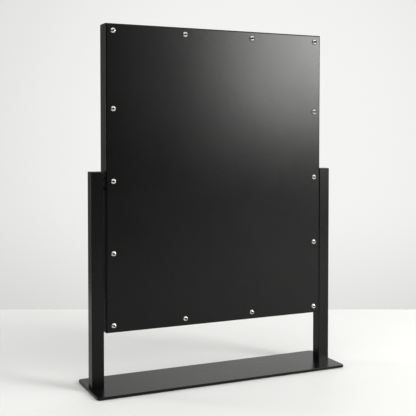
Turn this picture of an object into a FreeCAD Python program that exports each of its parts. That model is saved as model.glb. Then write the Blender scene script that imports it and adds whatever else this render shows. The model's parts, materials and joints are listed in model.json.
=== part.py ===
import FreeCAD, Part
import os
import Sketcher
from FreeCAD import Placement, Rotation, Vector

# A countertop mirror: a shallow steel housing that holds the glass tilts between two square posts on a
# flat base plate. Millimetres; +Z is up, -Y is the side the glass faces, +Y is the rear cover's side.
# The origin is on the floor, under the middle of the base plate. The pivot axis runs along X above it.
# Left and right are the mirror's own, as it faces -Y, so the left post stands at +X.

DIMENSIONS = {
    # mirror housing
    "panel_width": 316,
    "panel_height": 392.4,
    "panel_depth": 24,
    "panel_bottom": 74.8,
    "sheet": 1.2,
    "bend_radius": 1.6,
    "bezel_width": 20,
    "bezel_edge_round": 0.4,
    "cover_seam": 7,
    "seam_gap": 0.4,
    # cover fasteners
    "screw_inset_x": 9.6,
    "screw_inset_z": 9,
    "row_pitch": 92,
    "thread_clearance": 0.05,
    "screw_radius": 2,
    "screw_hole_radius": 2.2,
    "screw_length": 6,
    "screw_head_radius": 3.8,
    "screw_head_height": 2.2,
    "screw_head_round": 1.9,
    "screw_socket": 2.5,
    "screw_socket_depth": 1.3,
    "standoff_radius": 4,
    "standoff_thread_depth": 9,
    # glass and what backs it
    "glass_margin": 15,
    "glass_thickness": 3,
    "glass_chamfer": 0.5,
    "tape_thickness": 0.6,
    "tape_width": 3.6,
    "tape_inset": 0.8,
    "board_thickness": 3,
    "board_notch_depth": 26,
    "board_notch_height": 16,
    "foam_size": 30,
    "foam_spread_x": 95,
    "foam_spread_z": 130,
    # pivots
    "pivot_height": 264.5,
    "side_gap": 2.4,
    "bush_flange": 1.6,
    "running_gap": 0.1,
    "bush_flange_radius": 8,
    "bush_radius": 4,
    "bush_depth": 9.2,
    "bolt_radius": 3,
    "bolt_length": 30,
    "bolt_head_radius": 5.25,
    "bolt_head_height": 3.3,
    "bolt_head_round": 2.6,
    "bolt_socket": 4,
    "bolt_socket_depth": 2,
    "block_inset": 14.5,
    "block_below": 13,
    "block_above": 15,
    "block_bore_radius": 3.2,
    "block_thread_depth": 5.5,
    "washer_radius": 5.4,
    "washer_bore_radius": 3.2,
    "washer_thickness": 1.2,
    "spring_height": 1.6,
    "spring_thickness": 0.9,
    "nut_flange_radius": 6,
    "nut_body_radius": 4.45,
    "nut_hole_radius": 4.5,
    "nut_bulge_radius": 5.4,
    "nut_bulge_length": 3,
    "nut_bulge_taper": 1,
    "nut_length": 11,
    # posts
    "post_size": 16,
    "post_wall": 1.5,
    "post_round": 0.8,
    "post_top": 280,
    "cap_head": 1.2,
    "cap_round": 0.5,
    "cap_plug": 7,
    "cap_wall": 1.2,
    "insert_length": 20,
    "insert_clearance": 0.05,
    # base
    "plate_length": 360,
    "plate_depth": 88,
    "plate_thickness": 3,
    "plate_corner": 4.5,
    "plate_edge_round": 0.4,
    "foot_radius": 9,
    "foot_thickness": 1,
    "foot_inset_x": 20,
    "foot_inset_y": 16,
    "foot_screw_radius": 2.5,
    "foot_screw_head": 4.9,
    "foot_screw_cone": 2.4,
    "foot_screw_length": 14,
    "foot_screw_socket": 3,
    "foot_screw_socket_depth": 1.8,
    "foot_hole_radius": 2.75,
    "foot_hole_mouth": 5.15,
}

# Places that several sub-parts share, as expressions of the driving dimensions.
HALF_WIDTH = "(Dims.panel_width / 2)"
HALF_DEPTH = "(Dims.panel_depth / 2)"
PANEL_CENTRE = "(Dims.panel_bottom + Dims.panel_height / 2)"
INNER_FRONT = "(Dims.sheet - Dims.panel_depth / 2)"
INNER_REAR = "(Dims.panel_depth / 2 - Dims.sheet)"
GLASS_FRONT = "(Dims.sheet - Dims.panel_depth / 2 + Dims.tape_thickness)"
BOARD_FRONT = f"({GLASS_FRONT} + Dims.glass_thickness)"
BOARD_REAR = f"({BOARD_FRONT} + Dims.board_thickness)"
GLASS_WIDTH = "(Dims.panel_width - 2 * Dims.glass_margin)"
GLASS_HEIGHT = "(Dims.panel_height - 2 * Dims.glass_margin)"
COLUMN_SPREAD = "(Dims.panel_width / 2 - Dims.screw_inset_x)"
BOTTOM_ROW = "(Dims.screw_inset_z - Dims.panel_height / 2)"
TOP_ROW = "(Dims.panel_height / 2 - Dims.screw_inset_z)"
MIDDLE_ROW = f"({BOTTOM_ROW} + 2 * Dims.row_pitch)"
PIVOT_ABOVE_CENTRE = f"(Dims.pivot_height - {PANEL_CENTRE})"
BLOCK_FACE = "(Dims.panel_width / 2 - Dims.block_inset)"
BOLT_SEAT = f"({BLOCK_FACE} - Dims.washer_thickness - Dims.spring_height)"
POST_CENTRE = "(Dims.panel_width / 2 + Dims.side_gap + Dims.post_size / 2)"
PLATE_TOP = "(Dims.foot_thickness + Dims.plate_thickness)"
POST_END = "(Dims.post_top - Dims.cap_head)"
POST_BORE = "(Dims.post_size - 2 * Dims.post_wall)"
SCREW_THREAD = "(Dims.screw_radius + Dims.thread_clearance)"
FOOT_THREAD = "(Dims.foot_screw_radius + Dims.thread_clearance)"
BOLT_THREAD = "(Dims.bolt_radius + Dims.thread_clearance)"

SIDES = {"left": 1, "right": -1}
TOLERANCE = 1e-4

doc = FreeCAD.newDocument("countertop_mirror")
sheet = doc.addObject("Spreadsheet::Sheet", "Dims")
for row, (alias, size) in enumerate(DIMENSIONS.items(), 1):
    sheet.set(f"A{row}", alias)
    sheet.set(f"B{row}", str(size))
    sheet.setAlias(f"B{row}", alias)
doc.recompute()


def number(expression):
    """The present value of an expression of the driving dimensions."""
    return float(sheet.evalExpression(str(expression)))


# Sketches ---------------------------------------------------------------------------------------------

def new_body(label, x="0", y="0", z="0", rotation=Rotation()):
    """A body whose own origin stands at the place given by three expressions."""
    body = doc.addObject("PartDesign::Body", label)
    body.Label = label
    body.Placement = Placement(Vector(), rotation)
    for axis, place in zip("xyz", (x, y, z)):
        body.setExpression(f"Placement.Base.{axis}", place)
    return body


def new_sketch(body, name, plane, offset="0"):
    """A sketch on one of the body's origin planes, moved along the plane's normal by offset."""
    sketch = body.newObject("Sketcher::SketchObject", f"{body.Label}_{name}")
    origin_plane = next(item for item in body.Origin.OriginFeatures if item.Role == plane)
    sketch.AttachmentSupport = [(origin_plane, "")]
    sketch.MapMode = "FlatFace"
    sketch.setExpression("AttachmentOffset.Base.z", offset)
    return sketch


def upright_sketch(body, name, depth="0"):
    """A sketch in an XZ plane that stands at y = depth; that plane's normal is -Y."""
    return new_sketch(body, name, "XZ_Plane", f"-({depth})")


def bind(sketch, kind, geometry, place):
    """Hold one coordinate of a curve's start point, or of a circle's centre, at an expression."""
    point = 1 if isinstance(sketch.Geometry[geometry], Part.LineSegment) else 3
    constraint = Sketcher.Constraint(kind, -1, 1, geometry, point, number(place))
    sketch.setExpression(f"Constraints[{sketch.addConstraint(constraint)}]", place)


def add_outline(sketch, corners):
    """A closed outline of straight lines; corners are pairs of expressions."""
    first = sketch.GeometryCount
    points = [Vector(number(x), number(y), 0) for x, y in corners]
    for start, end in zip(points, points[1:] + points[:1]):
        sketch.addGeometry(Part.LineSegment(start, end))
    for index, (x, y) in enumerate(corners):
        line = first + index
        following = first + (index + 1) % len(corners)
        sketch.addConstraint(Sketcher.Constraint("Coincident", line, 2, following, 1))
        bind(sketch, "DistanceX", line, x)
        bind(sketch, "DistanceY", line, y)


def add_rectangle(sketch, width, height, x="0", y="0"):
    """A rectangle round the point (x, y)."""
    left = f"{x} - ({width}) / 2"
    right = f"{x} + ({width}) / 2"
    low = f"{y} - ({height}) / 2"
    high = f"{y} + ({height}) / 2"
    add_outline(sketch, [(left, low), (right, low), (right, high), (left, high)])


def add_circle(sketch, radius, x="0", y="0"):
    """A circle round the point (x, y)."""
    circle = sketch.addGeometry(Part.Circle(Vector(number(x), number(y), 0), Vector(0, 0, 1),
                                            number(radius)))
    bind(sketch, "DistanceX", circle, x)
    bind(sketch, "DistanceY", circle, y)
    index = sketch.addConstraint(Sketcher.Constraint("Radius", circle, number(radius)))
    sketch.setExpression(f"Constraints[{index}]", radius)


def add_hexagon(sketch, across_flats):
    """A hexagon round the sketch's origin, as a hex key's socket."""
    reach = f"({across_flats}) / sqrt(3)"
    add_outline(sketch, [(f"{reach} * cos({angle})", f"{reach} * sin({angle})")
                         for angle in range(0, 360, 60)])


# Features ---------------------------------------------------------------------------------------------

def pad(body, sketch, length, reverse=False, symmetric=False):
    """Add the sketch's outline to the body, along its normal or against it."""
    feature = body.newObject("PartDesign::Pad", f"{sketch.Name}_pad")
    feature.Profile = sketch
    feature.Reversed = reverse
    if symmetric:
        feature.SideType = "Symmetric"
    feature.setExpression("Length", length)
    doc.recompute()


def pocket(body, sketch, length, reverse=False, symmetric=False):
    """Cut the sketch's outline out of the body, against its normal or along it."""
    volume = body.Shape.Volume
    feature = body.newObject("PartDesign::Pocket", f"{sketch.Name}_pocket")
    feature.Profile = sketch
    feature.Reversed = reverse
    if symmetric:
        feature.SideType = "Symmetric"
    feature.setExpression("Length", length)
    doc.recompute()
    if body.Shape.Volume > volume - TOLERANCE:
        raise RuntimeError(f"{feature.Name} cuts nothing")


def revolve(body, profile, plane="XZ_Plane"):
    """Turn a profile of (radius, height) corners about the body's Z axis, or Y for the XY plane."""
    sketch = new_sketch(body, "profile", plane)
    add_outline(sketch, profile)
    feature = body.newObject("PartDesign::Revolution", f"{body.Label}_revolution")
    feature.Profile = sketch
    feature.ReferenceAxis = (sketch, ["V_Axis"])
    doc.recompute()


def dress(body, kind, size_name, size, wanted):
    """Fillet or chamfer the edges of the body that the function wanted picks."""
    base = body.Tip
    edges = [f"Edge{index}" for index, edge in enumerate(base.Shape.Edges, 1) if wanted(edge.BoundBox)]
    feature = body.newObject(f"PartDesign::{kind}", f"{base.Name}_{kind.lower()}")
    feature.Base = (base, edges)
    feature.setExpression(size_name, size)
    doc.recompute()


def fillet(body, radius, wanted):
    dress(body, "Fillet", "Radius", radius, wanted)


def chamfer(body, size, wanted):
    dress(body, "Chamfer", "Size", size, wanted)


def level(axis, place):
    """Picks the edges that lie in the plane where the axis has the value of an expression."""
    value = number(place)
    return lambda box: (abs(getattr(box, f"{axis}Min") - value) < TOLERANCE
                        and abs(getattr(box, f"{axis}Max") - value) < TOLERANCE)


def along(axis):
    """Picks the straight edges that run along the axis."""
    others = [name for name in "XYZ" if name != axis]
    return lambda box: (getattr(box, f"{axis}Length") > TOLERANCE
                        and all(getattr(box, f"{name}Length") < TOLERANCE for name in others))


def copies(label, original, places):
    """One sub-part made of separate copies of an original; places are triples of expressions."""
    links = []
    for count, place in enumerate(places, 1):
        link = doc.addObject("App::Link", f"{label}_{count}")
        link.LinkedObject = original
        for axis, position in zip("xyz", place):
            link.setExpression(f"Placement.Base.{axis}", position)
        links.append(link)
    group = doc.addObject("Part::Compound", label)
    group.Label = label
    group.Links = links
    return group


# Base -------------------------------------------------------------------------------------------------

def base_plate():
    """Flat plate with round corners and a countersunk hole from below under each post."""
    body = new_body("base_plate", z="Dims.foot_thickness")
    outline = new_sketch(body, "outline", "XY_Plane")
    add_rectangle(outline, "Dims.plate_length", "Dims.plate_depth")
    pad(body, outline, "Dims.plate_thickness")
    fillet(body, "Dims.plate_corner", along("Z"))
    fillet(body, "Dims.plate_edge_round", level("Z", "Dims.plate_thickness"))
    cone = "(Dims.foot_hole_mouth - Dims.foot_hole_radius)"
    for name, side in SIDES.items():
        hole = new_sketch(body, f"{name}_hole", "XZ_Plane")
        middle = f"{side} * {POST_CENTRE}"
        add_outline(hole, [
            (middle, "0"),
            (f"{middle} + Dims.foot_hole_mouth", "0"),
            (f"{middle} + Dims.foot_hole_radius", cone),
            (f"{middle} + Dims.foot_hole_radius", "Dims.plate_thickness"),
            (middle, "Dims.plate_thickness")])
        volume = body.Shape.Volume
        groove = body.newObject("PartDesign::Groove", f"base_plate_{name}_groove")
        groove.Profile = hole
        groove.ReferenceAxis = (hole, ["Edge5"])
        doc.recompute()
        if body.Shape.Volume > volume - TOLERANCE:
            raise RuntimeError(f"{groove.Name} cuts nothing")
    return body


def base_pads():
    """Four thin round pads under the plate's corners."""
    original = new_body("base_pad_original")
    outline = new_sketch(original, "outline", "XY_Plane")
    add_circle(outline, "Dims.foot_radius")
    pad(original, outline, "Dims.foot_thickness")
    reach_x = "(Dims.plate_length / 2 - Dims.foot_inset_x)"
    reach_y = "(Dims.plate_depth / 2 - Dims.foot_inset_y)"
    return copies("base_pads", original, [(f"{x} * {reach_x}", f"{y} * {reach_y}", "0")
                                          for x in (1, -1) for y in (1, -1)])


def base_screws():
    """A countersunk socket screw from under the plate into the foot of each post."""
    original = new_body("base_screw_original")
    revolve(original, [
        ("0", "0"),
        ("Dims.foot_screw_head", "0"),
        ("Dims.foot_screw_radius", "Dims.foot_screw_cone"),
        ("Dims.foot_screw_radius", "Dims.foot_screw_length"),
        ("0", "Dims.foot_screw_length")])
    socket = new_sketch(original, "socket", "XY_Plane")
    add_hexagon(socket, "Dims.foot_screw_socket")
    pocket(original, socket, "Dims.foot_screw_socket_depth", reverse=True)
    return copies("base_screws", original, [(f"{side} * {POST_CENTRE}", "0", "Dims.foot_thickness")
                                            for side in SIDES.values()])


# Posts ------------------------------------------------------------------------------------------------

def post(name, side):
    """Square tube with one hole, in the wall that faces the housing, for the pivot nut."""
    body = new_body(f"{name}_post", x=f"{side} * {POST_CENTRE}", z=PLATE_TOP)
    length = f"({POST_END} - {PLATE_TOP})"
    outline = new_sketch(body, "outline", "XY_Plane")
    add_rectangle(outline, "Dims.post_size", "Dims.post_size")
    pad(body, outline, length)
    fillet(body, "Dims.post_round", along("Z"))
    bore = new_sketch(body, "bore", "XY_Plane")
    add_rectangle(bore, POST_BORE, POST_BORE)
    pocket(body, bore, length, reverse=True)
    hole = new_sketch(body, "nut_hole", "YZ_Plane")
    add_circle(hole, "Dims.nut_hole_radius", y=f"Dims.pivot_height - {PLATE_TOP}")
    pocket(body, hole, "Dims.post_size", reverse=side < 0)
    return body


def post_cap(name, side):
    """Moulded cap: a flat head the size of the tube on a hollow plug that fills its bore."""
    body = new_body(f"{name}_post_cap", x=f"{side} * {POST_CENTRE}", z=POST_END)
    head = new_sketch(body, "head", "XY_Plane")
    add_rectangle(head, "Dims.post_size", "Dims.post_size")
    pad(body, head, "Dims.cap_head")
    fillet(body, "Dims.post_round", along("Z"))
    fillet(body, "Dims.cap_round", level("Z", "Dims.cap_head"))
    plug = new_sketch(body, "plug", "XY_Plane")
    plug_size = f"({POST_BORE} - 2 * Dims.insert_clearance)"
    add_rectangle(plug, plug_size, plug_size)
    pad(body, plug, "Dims.cap_plug", reverse=True)
    hollow = new_sketch(body, "hollow", "XY_Plane")
    hollow_size = f"({plug_size} - 2 * Dims.cap_wall)"
    add_rectangle(hollow, hollow_size, hollow_size)
    pocket(body, hollow, "Dims.cap_plug")
    return body


def post_insert(name, side):
    """Solid block in the foot of the tube, with the thread for the base screw."""
    body = new_body(f"{name}_post_insert", x=f"{side} * {POST_CENTRE}", z=PLATE_TOP)
    outline = new_sketch(body, "outline", "XY_Plane")
    insert_size = f"({POST_BORE} - 2 * Dims.insert_clearance)"
    add_rectangle(outline, insert_size, insert_size)
    pad(body, outline, "Dims.insert_length")
    thread = new_sketch(body, "thread", "XY_Plane")
    add_circle(thread, FOOT_THREAD)
    pocket(body, thread, "Dims.insert_length", reverse=True)
    return body


# Pivots: each piece is turned about its own Z axis, which points outwards along the pivot axis ---------

def on_pivot(label, side, distance):
    """A body whose Z axis lies on the pivot axis and points outwards, at a distance from the middle."""
    outwards = Rotation(Vector(0, 1, 0), 90 * side)
    return new_body(label, x=f"{side} * {distance}", z="Dims.pivot_height", rotation=outwards)


def pivot_nut(name, side):
    """Rivet nut in the post: flange outside, body through the wall, bulge behind it."""
    inner_end = "(Dims.panel_width / 2 + Dims.bush_flange + Dims.running_gap)"
    body = on_pivot(f"{name}_pivot_nut", side, inner_end)
    flange = "(Dims.side_gap - Dims.bush_flange - Dims.running_gap)"
    behind = f"({flange} + Dims.post_wall)"
    revolve(body, [
        (BOLT_THREAD, "0"),
        ("Dims.nut_flange_radius", "0"),
        ("Dims.nut_flange_radius", flange),
        ("Dims.nut_body_radius", flange),
        ("Dims.nut_body_radius", behind),
        ("Dims.nut_bulge_radius", behind),
        ("Dims.nut_bulge_radius", f"{behind} + Dims.nut_bulge_length"),
        ("Dims.nut_body_radius", f"{behind} + Dims.nut_bulge_length + Dims.nut_bulge_taper"),
        ("Dims.nut_body_radius", "Dims.nut_length"),
        (BOLT_THREAD, "Dims.nut_length")])
    return body


def pivot_bolt(name, side):
    """Button-head bolt from inside the housing, through the block and the bush into the nut."""
    body = on_pivot(f"{name}_pivot_bolt", side, BOLT_SEAT)
    revolve(body, [
        ("0", "-Dims.bolt_head_height"),
        ("Dims.bolt_head_radius", "-Dims.bolt_head_height"),
        ("Dims.bolt_head_radius", "0"),
        ("Dims.bolt_radius", "0"),
        ("Dims.bolt_radius", "Dims.bolt_length"),
        ("0", "Dims.bolt_length")])
    fillet(body, "Dims.bolt_head_round", level("Z", "-Dims.bolt_head_height"))
    socket = new_sketch(body, "socket", "XY_Plane", "-Dims.bolt_head_height")
    add_hexagon(socket, "Dims.bolt_socket")
    pocket(body, socket, "Dims.bolt_socket_depth", reverse=True)
    return body


def pivot_washer(name, side):
    """Plain washer between the disc spring and the pivot block."""
    body = on_pivot(f"{name}_pivot_washer", side, f"({BLOCK_FACE} - Dims.washer_thickness)")
    ring = new_sketch(body, "ring", "XY_Plane")
    add_circle(ring, "Dims.washer_radius")
    add_circle(ring, "Dims.washer_bore_radius")
    pad(body, ring, "Dims.washer_thickness")
    return body


def disc_spring(name, side):
    """Conical disc spring under the bolt head, which keeps the pivot stiff."""
    body = on_pivot(f"{name}_disc_spring", side, BOLT_SEAT)
    revolve(body, [
        ("Dims.washer_bore_radius", "0"),
        ("Dims.washer_radius", "Dims.spring_height - Dims.spring_thickness"),
        ("Dims.washer_radius", "Dims.spring_height"),
        ("Dims.washer_bore_radius", "Dims.spring_thickness")])
    return body


def pivot_bush(name, side):
    """Flanged plastic bush: its flange is the friction washer between the housing and the post."""
    body = on_pivot(f"{name}_pivot_bush", side, HALF_WIDTH)
    revolve(body, [
        (BOLT_THREAD, "-Dims.bush_depth"),
        ("Dims.bush_radius", "-Dims.bush_depth"),
        ("Dims.bush_radius", "0"),
        ("Dims.bush_flange_radius", "0"),
        ("Dims.bush_flange_radius", "Dims.bush_flange"),
        (BOLT_THREAD, "Dims.bush_flange")])
    return body


def pivot_block(name, side):
    """Block inside the housing's side wall that carries the bush and takes one cover screw."""
    body = new_body(f"{name}_pivot_block", z="Dims.pivot_height")
    outer_face = "(Dims.panel_width / 2 - Dims.sheet)"
    outline = upright_sketch(body, "outline")
    add_outline(outline, [
        (f"{side} * {BLOCK_FACE}", "-Dims.block_below"),
        (f"{side} * {outer_face}", "-Dims.block_below"),
        (f"{side} * {outer_face}", "Dims.block_above"),
        (f"{side} * {BLOCK_FACE}", "Dims.block_above")])
    pad(body, outline, "Dims.panel_depth - 2 * Dims.sheet", symmetric=True)
    bore = new_sketch(body, "bore", "YZ_Plane")
    add_circle(bore, "Dims.block_bore_radius")
    pocket(body, bore, HALF_WIDTH, reverse=side > 0)
    seat = new_sketch(body, "bush_seat", "YZ_Plane", f"{side} * {outer_face}")
    add_circle(seat, "Dims.bush_radius")
    pocket(body, seat, "Dims.bush_depth - Dims.sheet", reverse=side < 0)
    thread = upright_sketch(body, "thread", INNER_REAR)
    middle_row = f"{MIDDLE_ROW} - {PIVOT_ABOVE_CENTRE}"
    add_circle(thread, SCREW_THREAD, x=f"{side} * {COLUMN_SPREAD}", y=middle_row)
    pocket(body, thread, "Dims.block_thread_depth", reverse=True)
    return body


# Mirror housing: these bodies have their origin at the middle of the housing ---------------------------

def cover_screw_places():
    """Four columns along the top and bottom, and three more rows down each side."""
    columns = [f"{share} * {COLUMN_SPREAD}" for share in ("1", "1 / 3", "-1 / 3", "-1")]
    places = [(column, row) for row in (TOP_ROW, BOTTOM_ROW) for column in columns]
    for step in (1, 2, 3):
        side_row = f"({BOTTOM_ROW} + {step} * Dims.row_pitch)"
        places += [(f"{side} * {COLUMN_SPREAD}", side_row) for side in SIDES.values()]
    return places


def standoff_places():
    """The same places without the middle row at the sides, which the pivot blocks take."""
    return [(column, row) for column, row in cover_screw_places() if row != MIDDLE_ROW]


def front_frame():
    """Folded steel tray: a bezel round the window, and four side walls."""
    body = new_body("front_frame", z=PANEL_CENTRE)
    front = f"-{HALF_DEPTH}"
    wall_length = "(Dims.panel_depth - Dims.cover_seam)"
    outline = upright_sketch(body, "outline", front)
    add_rectangle(outline, "Dims.panel_width", "Dims.panel_height")
    pad(body, outline, wall_length, reverse=True)
    fillet(body, "Dims.bend_radius", level("Y", front))
    inside = upright_sketch(body, "inside", INNER_FRONT)
    add_rectangle(inside, "Dims.panel_width - 2 * Dims.sheet", "Dims.panel_height - 2 * Dims.sheet")
    pocket(body, inside, wall_length)
    window = upright_sketch(body, "window", front)
    add_rectangle(window, "Dims.panel_width - 2 * Dims.bezel_width",
                  "Dims.panel_height - 2 * Dims.bezel_width")
    pocket(body, window, "Dims.panel_depth")
    window_edge = number("Dims.panel_width / 2 - Dims.bezel_width") + TOLERANCE
    front_level = level("Y", front)
    fillet(body, "Dims.bezel_edge_round",
           lambda box: front_level(box) and max(abs(box.XMin), abs(box.XMax)) < window_edge)
    holes = new_sketch(body, "bush_holes", "YZ_Plane")
    add_circle(holes, "Dims.bush_radius", y=PIVOT_ABOVE_CENTRE)
    pocket(body, holes, "2 * Dims.panel_width", symmetric=True)
    return body


def rear_cover():
    """Folded steel lid that closes the housing, with clearance holes for the cover screws."""
    body = new_body("rear_cover", z=PANEL_CENTRE)
    lid_depth = "(Dims.cover_seam - Dims.seam_gap)"
    outline = upright_sketch(body, "outline", HALF_DEPTH)
    add_rectangle(outline, "Dims.panel_width", "Dims.panel_height")
    pad(body, outline, lid_depth)
    fillet(body, "Dims.bend_radius", level("Y", HALF_DEPTH))
    inside = upright_sketch(body, "inside", INNER_REAR)
    add_rectangle(inside, "Dims.panel_width - 2 * Dims.sheet", "Dims.panel_height - 2 * Dims.sheet")
    pocket(body, inside, lid_depth, reverse=True)
    holes = upright_sketch(body, "screw_holes", HALF_DEPTH)
    for column, row in cover_screw_places():
        add_circle(holes, "Dims.screw_hole_radius", x=column, y=row)
    pocket(body, holes, lid_depth, reverse=True)
    return body


def cover_screws():
    """Button-head screws with hex sockets; the original's axis is Y, and its head sits on y = 0."""
    original = new_body("cover_screw_original")
    revolve(original, [
        ("0", "-Dims.screw_length"),
        ("Dims.screw_radius", "-Dims.screw_length"),
        ("Dims.screw_radius", "0"),
        ("Dims.screw_head_radius", "0"),
        ("Dims.screw_head_radius", "Dims.screw_head_height"),
        ("0", "Dims.screw_head_height")], plane="XY_Plane")
    fillet(original, "Dims.screw_head_round", level("Y", "Dims.screw_head_height"))
    socket = upright_sketch(original, "socket", "Dims.screw_head_height")
    add_hexagon(socket, "Dims.screw_socket")
    pocket(original, socket, "Dims.screw_socket_depth", reverse=True)
    return copies("cover_screws", original, [(column, HALF_DEPTH, f"{PANEL_CENTRE} + {row}")
                                             for column, row in cover_screw_places()])


def cover_standoffs():
    """Round pillars on the bezel, threaded at the rear for the cover screws."""
    original = new_body("cover_standoff_original")
    round_bar = upright_sketch(original, "round_bar")
    add_circle(round_bar, "Dims.standoff_radius")
    pad(original, round_bar, "Dims.panel_depth - 2 * Dims.sheet", symmetric=True)
    thread = upright_sketch(original, "thread", INNER_REAR)
    add_circle(thread, SCREW_THREAD)
    pocket(original, thread, "Dims.standoff_thread_depth", reverse=True)
    return copies("cover_standoffs", original, [(column, "0", f"{PANEL_CENTRE} + {row}")
                                                for column, row in standoff_places()])


def mirror_glass():
    """Silvered glass with its edges ground off."""
    body = new_body("mirror_glass", z=PANEL_CENTRE)
    outline = upright_sketch(body, "outline", GLASS_FRONT)
    add_rectangle(outline, GLASS_WIDTH, GLASS_HEIGHT)
    pad(body, outline, "Dims.glass_thickness", reverse=True)
    chamfer(body, "Dims.glass_chamfer", level("Y", GLASS_FRONT))
    return body


def glass_tape():
    """Ring of adhesive tape that seats the glass on the back of the bezel."""
    body = new_body("glass_tape", z=PANEL_CENTRE)
    ring = upright_sketch(body, "ring", INNER_FRONT)
    for reach in ("Dims.tape_inset", "(Dims.tape_inset + Dims.tape_width)"):
        add_rectangle(ring, f"Dims.panel_width - 2 * Dims.bezel_width + 2 * {reach}",
                      f"Dims.panel_height - 2 * Dims.bezel_width + 2 * {reach}")
    pad(body, ring, "Dims.tape_thickness", reverse=True)
    return body


def backing_board():
    """Board behind the glass, notched at both sides to clear the pivot bolts."""
    body = new_body("backing_board", z=PANEL_CENTRE)
    outline = upright_sketch(body, "outline", BOARD_FRONT)
    add_rectangle(outline, GLASS_WIDTH, GLASS_HEIGHT)
    pad(body, outline, "Dims.board_thickness", reverse=True)
    notches = upright_sketch(body, "notches", BOARD_FRONT)
    for side in SIDES.values():
        add_rectangle(notches, "2 * Dims.board_notch_depth", "Dims.board_notch_height",
                      x=f"{side} * {GLASS_WIDTH} / 2", y=PIVOT_ABOVE_CENTRE)
    pocket(body, notches, "Dims.board_thickness")
    return body


def foam_blocks():
    """Foam blocks that the rear cover presses against the board."""
    original = doc.addObject("Part::Box", "foam_block_original")
    original.setExpression("Length", "Dims.foam_size")
    original.setExpression("Width", f"{INNER_REAR} - {BOARD_REAR}")
    original.setExpression("Height", "Dims.foam_size")
    return copies("foam_blocks", original, [
        (f"{column} * Dims.foam_spread_x - Dims.foam_size / 2", BOARD_REAR,
         f"{PANEL_CENTRE} + {row} * Dims.foam_spread_z - Dims.foam_size / 2")
        for row in (1, 0, -1) for column in (1, -1)])


# Assembly ---------------------------------------------------------------------------------------------

def build_nodes():
    nodes = [base_plate(), base_pads(), base_screws()]
    for name, side in SIDES.items():
        nodes += [make(name, side) for make in (post, post_cap, post_insert, pivot_nut, pivot_bolt,
                                                pivot_washer, disc_spring, pivot_bush, pivot_block)]
    nodes += [front_frame(), rear_cover(), cover_screws(), cover_standoffs(), mirror_glass(),
              glass_tape(), backing_board(), foam_blocks()]
    return nodes


def check(nodes):
    """Stop if any object of the document has failed or any sub-part is not a sound solid."""
    for item in doc.Objects:
        if "Invalid" in item.State or "Error" in item.State:
            raise RuntimeError(f"{item.Name} failed: {item.State}")
    for node in nodes:
        if node.Shape.isNull() or not node.Shape.isValid() or not node.Shape.Solids:
            raise RuntimeError(f"{node.Label} is not a valid solid")


nodes = build_nodes()
doc.recompute()
check(nodes)
os.makedirs("parts", exist_ok=True)
for node in nodes:
    node.Shape.exportStep(f"parts/{node.Label}.step")
    print(f"{node.Label}: {len(node.Shape.Solids)} solids, {node.Shape.Volume:.0f} mm3")
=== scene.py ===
import json
import math

import bmesh
import bpy
from mathutils import Euler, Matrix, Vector


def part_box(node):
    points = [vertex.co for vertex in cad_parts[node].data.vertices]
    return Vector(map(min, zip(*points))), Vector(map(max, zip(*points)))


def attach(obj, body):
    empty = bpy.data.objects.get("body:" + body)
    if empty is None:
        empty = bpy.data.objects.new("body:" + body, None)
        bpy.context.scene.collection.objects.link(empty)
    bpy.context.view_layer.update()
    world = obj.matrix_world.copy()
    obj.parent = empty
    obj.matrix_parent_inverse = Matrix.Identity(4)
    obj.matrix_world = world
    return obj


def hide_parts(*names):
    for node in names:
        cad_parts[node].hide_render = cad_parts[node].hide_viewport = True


# The looks of a countertop mirror: black powder-coated steel, bright screws and silvered glass.
# Metres; +Z is up, -Y is the side that the glass faces and +Y is the rear cover's side.

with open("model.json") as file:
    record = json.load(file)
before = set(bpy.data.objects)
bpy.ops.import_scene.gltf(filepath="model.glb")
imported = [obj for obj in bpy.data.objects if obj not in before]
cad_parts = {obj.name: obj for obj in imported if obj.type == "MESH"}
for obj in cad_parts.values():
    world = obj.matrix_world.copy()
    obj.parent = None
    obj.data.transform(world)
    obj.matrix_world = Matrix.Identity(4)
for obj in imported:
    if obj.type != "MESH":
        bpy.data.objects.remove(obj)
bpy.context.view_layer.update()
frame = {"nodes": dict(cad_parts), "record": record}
nodes = frame["nodes"]

MM = 0.001


# Shading --------------------------------------------------------------------------------------

# The numbered sockets of a Mix node.
MIX_FACTOR = 0
FIRST_NUMBER, SECOND_NUMBER, NUMBER_OUT = 2, 3, 0
FIRST_COLOUR, SECOND_COLOUR, COLOUR_OUT = 6, 7, 2


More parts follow.
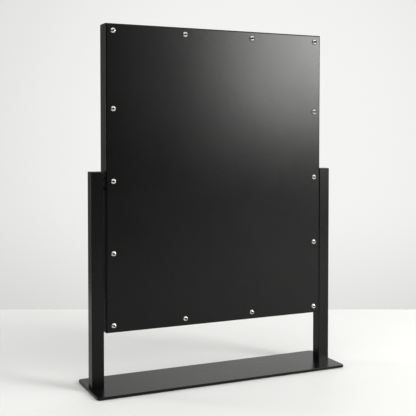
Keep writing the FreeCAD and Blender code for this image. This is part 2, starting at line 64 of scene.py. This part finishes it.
class Shading:
    """The node tree of a material or the world, with short calls for the nodes they share."""

    def __init__(self, owner):
        owner.use_nodes = True
        self.tree = owner.node_tree
        self.tree.nodes.clear()

    def add(self, kind, inputs=None, **settings):
        """A new node. Inputs maps its sockets, by name or number, to values or other sockets."""
        node = self.tree.nodes.new(kind)
        for name, value in settings.items():
            setattr(node, name, value)
        for socket, value in (inputs or {}).items():
            if isinstance(value, bpy.types.NodeSocket):
                self.tree.links.new(value, node.inputs[socket])
            else:
                node.inputs[socket].default_value = value
        return node

    def math(self, operation, first, second):
        return self.add("ShaderNodeMath", {0: first, 1: second}, operation=operation).outputs[0]

    def vector_math(self, operation, first, second=(0.0, 0.0, 0.0)):
        node = self.add("ShaderNodeVectorMath", {0: first, 1: second}, operation=operation)
        return node.outputs["Value" if operation in ("DOT_PRODUCT", "LENGTH") else "Vector"]

    def noise(self, place, scale, detail=2.0, roughness=0.5):
        inputs = {"Vector": place, "Scale": scale, "Detail": detail, "Roughness": roughness}
        return self.add("ShaderNodeTexNoise", inputs).outputs["Fac"]

    def ramp(self, value, start, end, at_start=0.0, at_end=1.0):
        """A smooth step of a value: at_start where it is start or before, at_end from end on."""
        inputs = {"Value": value, "From Min": start, "From Max": end,
                  "To Min": at_start, "To Max": at_end}
        node = self.add("ShaderNodeMapRange", inputs, interpolation_type="SMOOTHSTEP")
        return node.outputs["Result"]

    def blend(self, factor, first, second):
        """A colour between two others, by a factor from 0 to 1."""
        inputs = {MIX_FACTOR: factor, FIRST_COLOUR: first, SECOND_COLOUR: second}
        return self.add("ShaderNodeMix", inputs, data_type="RGBA").outputs[COLOUR_OUT]

    def between(self, factor, first, second):
        """A number between two others, by a factor from 0 to 1."""
        inputs = {MIX_FACTOR: factor, FIRST_NUMBER: first, SECOND_NUMBER: second}
        return self.add("ShaderNodeMix", inputs, data_type="FLOAT").outputs[NUMBER_OUT]

    def sum(self, *terms):
        """The sum of sockets, each weighted: terms are plain numbers or (socket, weight)."""
        total = sum(term for term in terms if not isinstance(term, tuple))
        for socket, weight in (term for term in terms if isinstance(term, tuple)):
            total = self.add("ShaderNodeMath", {0: socket, 1: weight, 2: total},
                             operation="MULTIPLY_ADD").outputs[0]
        return total

    def edge_distance(self, place, low, high):
        """How far a point on the faces of a box is from the nearest edge of the box."""
        offset = self.vector_math("SUBTRACT", place, (low + high) / 2)
        off_middle = self.vector_math("ABSOLUTE", offset)
        inside = self.vector_math("SUBTRACT", (high - low) / 2, off_middle)
        x, y, z = self.add("ShaderNodeSeparateXYZ", {0: inside}).outputs
        nearer = self.math("MINIMUM", x, y)
        farther = self.math("MAXIMUM", x, y)
        return self.math("MAXIMUM", nearer, self.math("MINIMUM", farther, z))


class Surface(Shading):
    def __init__(self, name):
        self.material = bpy.data.materials.new(name)
        super().__init__(self.material)
        coordinates = self.add("ShaderNodeTexCoord")
        self.place = coordinates.outputs["Object"]
        self.normal = coordinates.outputs["Normal"]

    def finish(self, height=None, depth=0.0, **inputs):
        """Height is a bump of that depth; inputs are the shader's sockets, with _ for a space."""
        sockets = {name.replace("_", " "): value for name, value in inputs.items()}
        if height is not None:
            shape = {"Height": height, "Distance": depth, "Strength": 1.0}
            sockets["Normal"] = self.add("ShaderNodeBump", shape).outputs["Normal"]
        shader = self.add("ShaderNodeBsdfPrincipled", sockets)
        self.add("ShaderNodeOutputMaterial", {"Surface": shader.outputs["BSDF"]})
        return self.material


def colour(red, green=None, blue=None):
    """A colour with alpha; one number alone is a grey."""
    return (red, red if green is None else green, red if blue is None else blue, 1.0)


# Materials ------------------------------------------------------------------------------------

def powder_coat(node):
    """Satin black powder coat on steel: fine orange peel, and edges burnished by handling."""
    surface = Surface(f"{node}_powder_coat")
    place = surface.place
    peel = surface.noise(place, scale=480)
    grain = surface.noise(place, scale=2600, detail=3)
    cloud = surface.noise(place, scale=11, detail=3)
    handling = surface.noise(place, scale=150, detail=4, roughness=0.65)
    edge = surface.edge_distance(place, *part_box(node))
    worn_edge = surface.sum((edge, 1), (handling, 1.6 * MM))
    burnished = surface.ramp(worn_edge, start=1.3 * MM, end=0.6 * MM)
    specks = surface.noise(place, scale=900, detail=5, roughness=0.8)
    dust = surface.ramp(specks, start=0.66, end=0.8)
    tone = surface.blend(cloud, colour(0.0038), colour(0.0054, 0.0054, 0.0055))
    tone = surface.blend(surface.math("MULTIPLY", burnished, 0.5), tone, colour(0.016))
    tone = surface.blend(surface.math("MULTIPLY", dust, 0.02), tone, colour(0.3, 0.29, 0.27))
    roughness = surface.sum(0.222, (cloud, 0.06), (grain, 0.05),
                            (burnished, -0.04), (dust, 0.1))
    return surface.finish(Base_Color=tone, Roughness=roughness,
                          Specular_IOR_Level=0.35, IOR=1.5,
                          height=surface.sum((peel, 0.8), (grain, 0.2)), depth=0.03 * MM)


def moulded_plastic(node):
    """Black plastic with a fine moulded grain."""
    surface = Surface(f"{node}_plastic")
    grain = surface.noise(surface.place, scale=3200)
    cloud = surface.noise(surface.place, scale=120)
    tone = surface.blend(cloud, colour(0.010), colour(0.014))
    return surface.finish(Base_Color=tone, Roughness=surface.sum(0.42, (cloud, 0.1)),
                          height=grain, depth=0.02 * MM)


def rubber(node):
    """Matt black rubber with a faint dusty bloom."""
    surface = Surface(f"{node}_rubber")
    bloom = surface.noise(surface.place, scale=260, detail=4, roughness=0.7)
    tone = surface.blend(surface.ramp(bloom, start=0.45, end=0.75), colour(0.016), colour(0.034))
    return surface.finish(Base_Color=tone, Roughness=surface.sum(0.72, (bloom, 0.2)),
                          height=surface.noise(surface.place, scale=2200), depth=0.02 * MM)


def stainless(node):
    """Bright stainless steel with the faint rings of the forming tool; the hex socket is painted
    near black, as painted shade of the hollow and some grime.
    """
    surface = Surface(f"{node}_stainless")
    x, y, z = surface.add("ShaderNodeSeparateXYZ", {0: surface.place}).outputs
    across = surface.add("ShaderNodeCombineXYZ", {"X": x, "Z": z}).outputs[0]
    off_axis = surface.vector_math("LENGTH", across)
    # Inside the socket the colour is painted near black and the finish rougher: painted shade of
    # the recess, with some grime.
    within_socket = surface.ramp(off_axis, start=1.55 * MM, end=1.3 * MM)
    below_top = surface.ramp(y, start=2.15 * MM, end=1.9 * MM)
    socket_shade_and_grime = surface.math("MULTIPLY", within_socket, below_top)
    waves = {"Vector": surface.place, "Scale": 1400.0, "Distortion": 1.5, "Detail": 2.0}
    rings = surface.add("ShaderNodeTexWave", waves,
                        wave_type="RINGS", rings_direction="Y").outputs["Fac"]
    stain = surface.noise(surface.place, scale=700, detail=4, roughness=0.6)
    tone = surface.blend(stain, colour(0.54, 0.535, 0.52), colour(0.66, 0.655, 0.64))
    tone = surface.blend(socket_shade_and_grime, tone, colour(0.03))
    roughness = surface.sum(0.12, (stain, 0.12), (socket_shade_and_grime, 0.4))
    return surface.finish(Base_Color=tone, Metallic=1.0, Roughness=roughness,
                          height=surface.sum((rings, 0.4), (stain, 0.6)), depth=0.006 * MM)


def zinc_plate(node):
    """Bright zinc plate, slightly blue and mottled."""
    surface = Surface(f"{node}_zinc")
    mottle = surface.noise(surface.place, scale=420, detail=4, roughness=0.65)
    tone = surface.blend(mottle, colour(0.50, 0.52, 0.56), colour(0.68, 0.68, 0.66))
    return surface.finish(Base_Color=tone, Metallic=1.0,
                          Roughness=surface.sum(0.24, (mottle, 0.2)),
                          height=mottle, depth=0.01 * MM)


def silvered_glass(node):
    """Silver seen through clear glass, with greenish ground edges and a grey painted back."""
    surface = Surface(f"{node}_silver")
    facing = surface.vector_math("DOT_PRODUCT", surface.normal, (0.0, -1.0, 0.0))
    silver = surface.ramp(facing, start=0.9, end=0.99)
    back = surface.ramp(facing, start=-0.9, end=-0.99)
    haze = surface.noise(surface.place, scale=22, detail=5, roughness=0.7)
    ground = surface.noise(surface.place, scale=1500)
    edge_tone = surface.blend(ground, colour(0.10, 0.22, 0.18), colour(0.20, 0.34, 0.29))
    plain_tone = surface.blend(back, edge_tone, colour(0.16, 0.17, 0.18))
    tone = surface.blend(silver, plain_tone, colour(0.875, 0.9, 0.89))
    ground_roughness = 0.45
    polish = surface.ramp(haze, start=0.4, end=0.8, at_start=0.012, at_end=0.03)
    return surface.finish(Base_Color=tone, Metallic=silver,
                          Roughness=surface.between(silver, ground_roughness, polish))


def nylon(node):
    """Black nylon, turned smooth."""
    surface = Surface(f"{node}_nylon")
    cloud = surface.noise(surface.place, scale=300, detail=3)
    tone = surface.blend(cloud, colour(0.014), colour(0.022))
    return surface.finish(Base_Color=tone, Roughness=surface.sum(0.36, (cloud, 0.12)),
                          height=surface.noise(surface.place, scale=1600), depth=0.008 * MM)


def closed_cell_foam(node):
    """Grey foam with small closed cells."""
    surface = Surface(f"{node}_foam")
    inputs = {"Vector": surface.place, "Scale": 900.0}
    cells = surface.add("ShaderNodeTexVoronoi", inputs).outputs["Distance"]
    tone = surface.blend(cells, colour(0.05), colour(0.13, 0.13, 0.135))
    return surface.finish(Base_Color=tone, Roughness=0.92, height=cells, depth=0.25 * MM)


def foam_tape(node):
    """Black foam tape with a fine open surface."""
    surface = Surface(f"{node}_tape")
    cells = surface.noise(surface.place, scale=2400, detail=3)
    tone = surface.blend(cells, colour(0.02), colour(0.05))
    return surface.finish(Base_Color=tone, Roughness=0.85, height=cells, depth=0.05 * MM)


def hardboard(node):
    """Brown hardboard: pressed fibres with darker flecks."""
    surface = Surface(f"{node}_hardboard")
    stretch = {"Vector": surface.place, "Scale": (1.0, 1.0, 3.5)}
    fibres = surface.add("ShaderNodeMapping", stretch).outputs[0]
    felt = surface.noise(fibres, scale=420, detail=6, roughness=0.75)
    flecks = surface.ramp(surface.noise(fibres, scale=950, detail=3), start=0.62, end=0.72)
    tone = surface.blend(felt, colour(0.16, 0.085, 0.04), colour(0.36, 0.22, 0.12))
    tone = surface.blend(surface.math("MULTIPLY", flecks, 0.5), tone, colour(0.07, 0.035, 0.018))
    return surface.finish(Base_Color=tone, Roughness=surface.sum(0.6, (felt, 0.2)),
                          height=felt, depth=0.08 * MM)


FINISHES = {
    "black_coat": powder_coat,
    "black_plastic": moulded_plastic,
    "stainless": stainless,
    "zinc_steel": zinc_plate,
    "mirror": silvered_glass,
    "nylon": nylon,
    "rubber_pad": rubber,
    "foam": closed_cell_foam,
    "tape": foam_tape,
    "hardboard": hardboard,
}

for part in frame["record"]["subparts"]:
    slots = nodes[part["node"]].data.materials
    slots.clear()
    slots.append(FINISHES[part["material_slot"]](part["node"]))


# Cover screws ---------------------------------------------------------------------------------

def island_boxes(node):
    """The boxes of the separate solids of a CAD node, as (lowest corner, highest corner) pairs."""
    mesh = bmesh.new()
    mesh.from_mesh(nodes[node].data)
    bmesh.ops.remove_doubles(mesh, verts=mesh.verts, dist=0.01 * MM)
    boxes = []
    unseen = set(mesh.verts)
    while unseen:
        front = [unseen.pop()]
        island = []
        while front:
            vertex = front.pop()
            island.append(vertex.co.copy())
            for edge in vertex.link_edges:
                other = edge.other_vert(vertex)
                if other in unseen:
                    unseen.remove(other)
                    front.append(other)
        boxes.append((Vector(map(min, *island)), Vector(map(max, *island))))
    mesh.free()
    return sorted(boxes, key=lambda box: (round(box[0].z, 4), round(box[0].x, 4)))


# An M4 button-head screw. Its length and the size of its head come from the CAD node.
SCREW_SEGMENTS = 48
SHANK_RADIUS = 2.0 * MM
TIP_CHAMFER = 0.4 * MM
THREAD_PITCH = 0.7 * MM
THREAD_DEPTH = 0.25 * MM
SEAT_CHAMFER = 0.15 * MM
SEAT_RISE = 0.12 * MM
HEAD_LIP = 0.3 * MM
SOCKET_FLATS = 2.5 * MM
SOCKET_DEPTH = 1.3 * MM
SOCKET_MOUTH = 1.62 * MM
MOUTH_CHAMFER = 0.16 * MM
PIT_DEPTH = 0.3 * MM
DOME_INNER_TILT = math.radians(12)
DOME_OUTER_TILT = math.radians(70)
DOME_STEPS = 12
HEXAGON_SIDE = math.radians(60)
SHARP_ANGLE = math.radians(32)
TURN_BETWEEN_SCREWS = math.radians(137.5)


def screw_profile(head_radius, head_height, shank_length):
    """Rings from the tip of the shank to the rim of the socket, as (radius, height) pairs."""
    rings = [(SHANK_RADIUS - THREAD_DEPTH - TIP_CHAMFER, -shank_length)]
    turns = int((shank_length - THREAD_PITCH) / THREAD_PITCH)
    for turn in range(turns):
        root = -shank_length + THREAD_PITCH * (turn + 0.5)
        crest = root + THREAD_PITCH / 2
        rings += [(SHANK_RADIUS - THREAD_DEPTH, root), (SHANK_RADIUS, crest)]
    rings += [(SHANK_RADIUS, 0.0), (head_radius - SEAT_CHAMFER, 0.0)]
    rings += [(head_radius, SEAT_RISE), (head_radius, HEAD_LIP)]
    # The dome is an arc of an ellipse, steep at the lip and nearly flat at the socket.
    inner, outer = DOME_INNER_TILT, DOME_OUTER_TILT
    width = (head_radius - SOCKET_MOUTH) / (math.sin(outer) - math.sin(inner))
    rise = (head_height - HEAD_LIP) / (math.cos(inner) - math.cos(outer))
    for step in range(1, DOME_STEPS + 1):
        tilt = outer + (inner - outer) * step / DOME_STEPS
        rings.append((SOCKET_MOUTH + width * (math.sin(tilt) - math.sin(inner)),
                      HEAD_LIP + rise * (math.cos(tilt) - math.cos(outer))))
    return rings


def hexagon_reach(angle, flats):
    """The distance from the middle of a hexagon to its outline, at an angle."""
    from_flat = (angle + HEXAGON_SIDE / 2) % HEXAGON_SIDE - HEXAGON_SIDE / 2
    return flats / 2 / math.cos(from_flat)


def screw_mesh(head_radius, head_height, shank_length):
    """A button-head screw with a hex socket; its axis is Y and the head sits on y = 0."""
    mesh = bmesh.new()
    angles = [math.tau * step / SCREW_SEGMENTS for step in range(SCREW_SEGMENTS)]

    def ring(height, reaches):
        """A ring of points round the axis, each as far from it as its own reach."""
        return [mesh.verts.new((reach * math.cos(angle), height, -reach * math.sin(angle)))
                for angle, reach in zip(angles, reaches)]

    rings = [ring(height, [radius] * SCREW_SEGMENTS)
             for radius, height in screw_profile(head_radius, head_height, shank_length)]
    hexagon = [hexagon_reach(angle, SOCKET_FLATS) for angle in angles]
    for depth in (MOUTH_CHAMFER, SOCKET_DEPTH):
        rings.append(ring(head_height - depth, hexagon))
    for first, second in zip(rings, rings[1:]):
        for step in range(SCREW_SEGMENTS):
            following = (step + 1) % SCREW_SEGMENTS
            mesh.faces.new((first[step], first[following], second[following], second[step]))
    tip = mesh.verts.new((0, -shank_length, 0))
    pit = mesh.verts.new((0, head_height - SOCKET_DEPTH - PIT_DEPTH, 0))
    for step in range(SCREW_SEGMENTS):
        following = (step + 1) % SCREW_SEGMENTS
        mesh.faces.new((tip, rings[0][following], rings[0][step]))
        mesh.faces.new((pit, rings[-1][step], rings[-1][following]))
    bmesh.ops.recalc_face_normals(mesh, faces=mesh.faces)
    data = bpy.data.meshes.new("cover_screw")
    mesh.to_mesh(data)
    mesh.free()
    data.shade_smooth()
    data.set_sharp_from_angle(angle=SHARP_ANGLE)
    return data


def cover_screws():
    """One detailed screw in each place of the CAD node, each turned to an angle of its own."""
    cover_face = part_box("rear_cover")[1].y
    boxes = island_boxes("cover_screws")
    low, high = boxes[0]
    data = screw_mesh((high.x - low.x) / 2, high.y - cover_face, cover_face - low.y)
    data.materials.append(stainless("cover_screw"))
    for count, (low, high) in enumerate(boxes, 1):
        screw = bpy.data.objects.new(f"cover_screw_{count:02d}", data)
        bpy.context.collection.objects.link(screw)
        screw.location = ((low.x + high.x) / 2, cover_face, (low.z + high.z) / 2)
        screw.rotation_euler = Euler((0, TURN_BETWEEN_SCREWS * count, 0))
        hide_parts("cover_screws")
        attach(screw, "mirror")


cover_screws()


# Stage ----------------------------------------------------------------------------------------

# The camera looks along -Y, turned towards +X by its heading and down by its pitch.
CAMERA_PLACE = Vector((0.4742, 1.0058, 0.3208))
CAMERA_HEADING = math.radians(-24.72)
CAMERA_PITCH = math.radians(1.87)
CAMERA_LENS = 71.1
CAMERA_SENSOR = 36.0
CAMERA_SHIFT = -0.1
CAMERA_NEAREST = 0.05
CAMERA_FARTHEST = 60
AHEAD = Vector((math.sin(CAMERA_HEADING), -math.cos(CAMERA_HEADING), 0.0))
TABLE_DEPTH = 1.543
TABLE_HALF_WIDTH = 6.0
WARM_WHITE = (1.0, 0.998, 0.987)
VIEW_GAMMA = 0.8


def camera():
    """The camera, at the photograph's viewing angle."""
    data = bpy.data.cameras.new("camera")
    data.lens = CAMERA_LENS
    data.sensor_width = CAMERA_SENSOR
    data.shift_y = CAMERA_SHIFT
    data.clip_start = CAMERA_NEAREST
    data.clip_end = CAMERA_FARTHEST
    eye = bpy.data.objects.new("camera", data)
    bpy.context.collection.objects.link(eye)
    eye.location = CAMERA_PLACE
    eye.rotation_euler = Euler((math.pi / 2 - CAMERA_PITCH, 0, CAMERA_HEADING + math.pi))
    bpy.context.scene.camera = eye


def floor():
    """A pale table top, from under the camera to a little way beyond the object."""
    aside = Vector((-AHEAD.y, AHEAD.x, 0.0)) * TABLE_HALF_WIDTH
    near = Vector((CAMERA_PLACE.x, CAMERA_PLACE.y, 0.0))
    far = near + AHEAD * TABLE_DEPTH
    corners = [far - aside, far + aside, near + aside, near - aside]
    data = bpy.data.meshes.new("floor")
    data.from_pydata(corners, [], [(0, 1, 2, 3)])
    data.update()
    table = bpy.data.objects.new("floor", data)
    bpy.context.collection.objects.link(table)
    surface = Surface("floor_laminate")
    mottle = surface.noise(surface.place, scale=6, detail=4)
    tone = surface.blend(mottle, colour(0.77, 0.77, 0.765), colour(0.805, 0.805, 0.80))
    data.materials.append(surface.finish(
        Base_Color=tone, Roughness=surface.sum(0.5, (mottle, 0.1)), Specular_IOR_Level=0.2,
        height=surface.noise(surface.place, scale=900), depth=0.01 * MM))


def bearing(heading, elevation):
    """The direction at a heading from +Y towards -X and an elevation, both in degrees."""
    turn, rise = math.radians(heading), math.radians(elevation)
    level = Vector((-math.sin(turn), math.cos(turn), 0.0))
    return level * math.cos(rise) + Vector((0.0, 0.0, math.sin(rise)))


def soft_box(name, target, direction, distance, width, height, radiance):
    """A rectangular light that faces the target from a distance in a direction."""
    light = bpy.data.lights.new(name, "AREA")
    light.shape = "RECTANGLE"
    light.size = width
    light.size_y = height
    light.color = WARM_WHITE
    light.energy = radiance * math.pi * width * height
    lamp = bpy.data.objects.new(name, light)
    bpy.context.collection.objects.link(lamp)
    lamp.location = target + direction * distance
    lamp.rotation_euler = (-direction).to_track_quat("-Z", "Y").to_euler()
    lamp.visible_camera = False


def studio():
    """A pale backdrop beyond the object, a bright ceiling, and a dark room behind the camera."""
    world = bpy.data.worlds.new("studio")
    bpy.context.scene.world = world
    shading = Shading(world)
    direction = shading.add("ShaderNodeTexCoord").outputs["Generated"]
    height = shading.add("ShaderNodeSeparateXYZ", {0: direction}).outputs["Z"]

    def near_to(heading, elevation):
        """The cosine of the angle between the looked-up direction and a bearing."""
        return shading.vector_math("DOT_PRODUCT", direction, bearing(heading, elevation))

    # What lights the object and shows in its gloss.
    towards = shading.math("MAXIMUM", near_to(140, 5), 0.0)
    backdrop = shading.sum((shading.math("POWER", towards, 10.0), 0.75),
                           (shading.math("POWER", towards, 1.2), 0.65))
    ceiling = shading.ramp(near_to(-20, 66), start=0.42, end=0.88, at_end=1.34)
    dark_room = 0.02
    lit = shading.sum(dark_room, (backdrop, 1.0), (ceiling, 1.0))

    # What shows behind the object: an even wall with a soft glow, darker near the table.
    glow = shading.ramp(near_to(152, 0), start=0.93, end=1.0, at_start=0.80, at_end=0.925)
    low_down = shading.ramp(height, start=-0.26, end=-0.07, at_start=0.89, at_end=1.0)
    seen = shading.math("MULTIPLY", glow, low_down)

    from_camera = shading.add("ShaderNodeLightPath").outputs["Is Camera Ray"]
    inputs = {"Color": colour(*WARM_WHITE), "Strength": shading.between(from_camera, lit, seen)}
    background = shading.add("ShaderNodeBackground", inputs)
    shading.add("ShaderNodeOutputWorld", {"Surface": background.outputs[0]})


def lamps():
    """The lamp behind the glow on the rear cover, a weak fill, and one for the thin edges."""
    low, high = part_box("rear_cover")
    soft_box("glint", Vector((low.x, high.y, high.z)), bearing(34, 8),
             distance=1.95, width=0.66, height=0.66, radiance=23.0)
    soft_box("side", Vector((0, 0, low.z)), bearing(62, 45),
             distance=2.0, width=1.2, height=1.2, radiance=1.2)
    soft_box("edge", Vector((high.x, 0, high.z)), bearing(-132, 5),
             distance=2.0, width=0.35, height=1.2, radiance=9.0)


camera()
floor()
studio()
lamps()
view = bpy.context.scene.view_settings
view.view_transform = "Standard"
view.gamma = VIEW_GAMMA
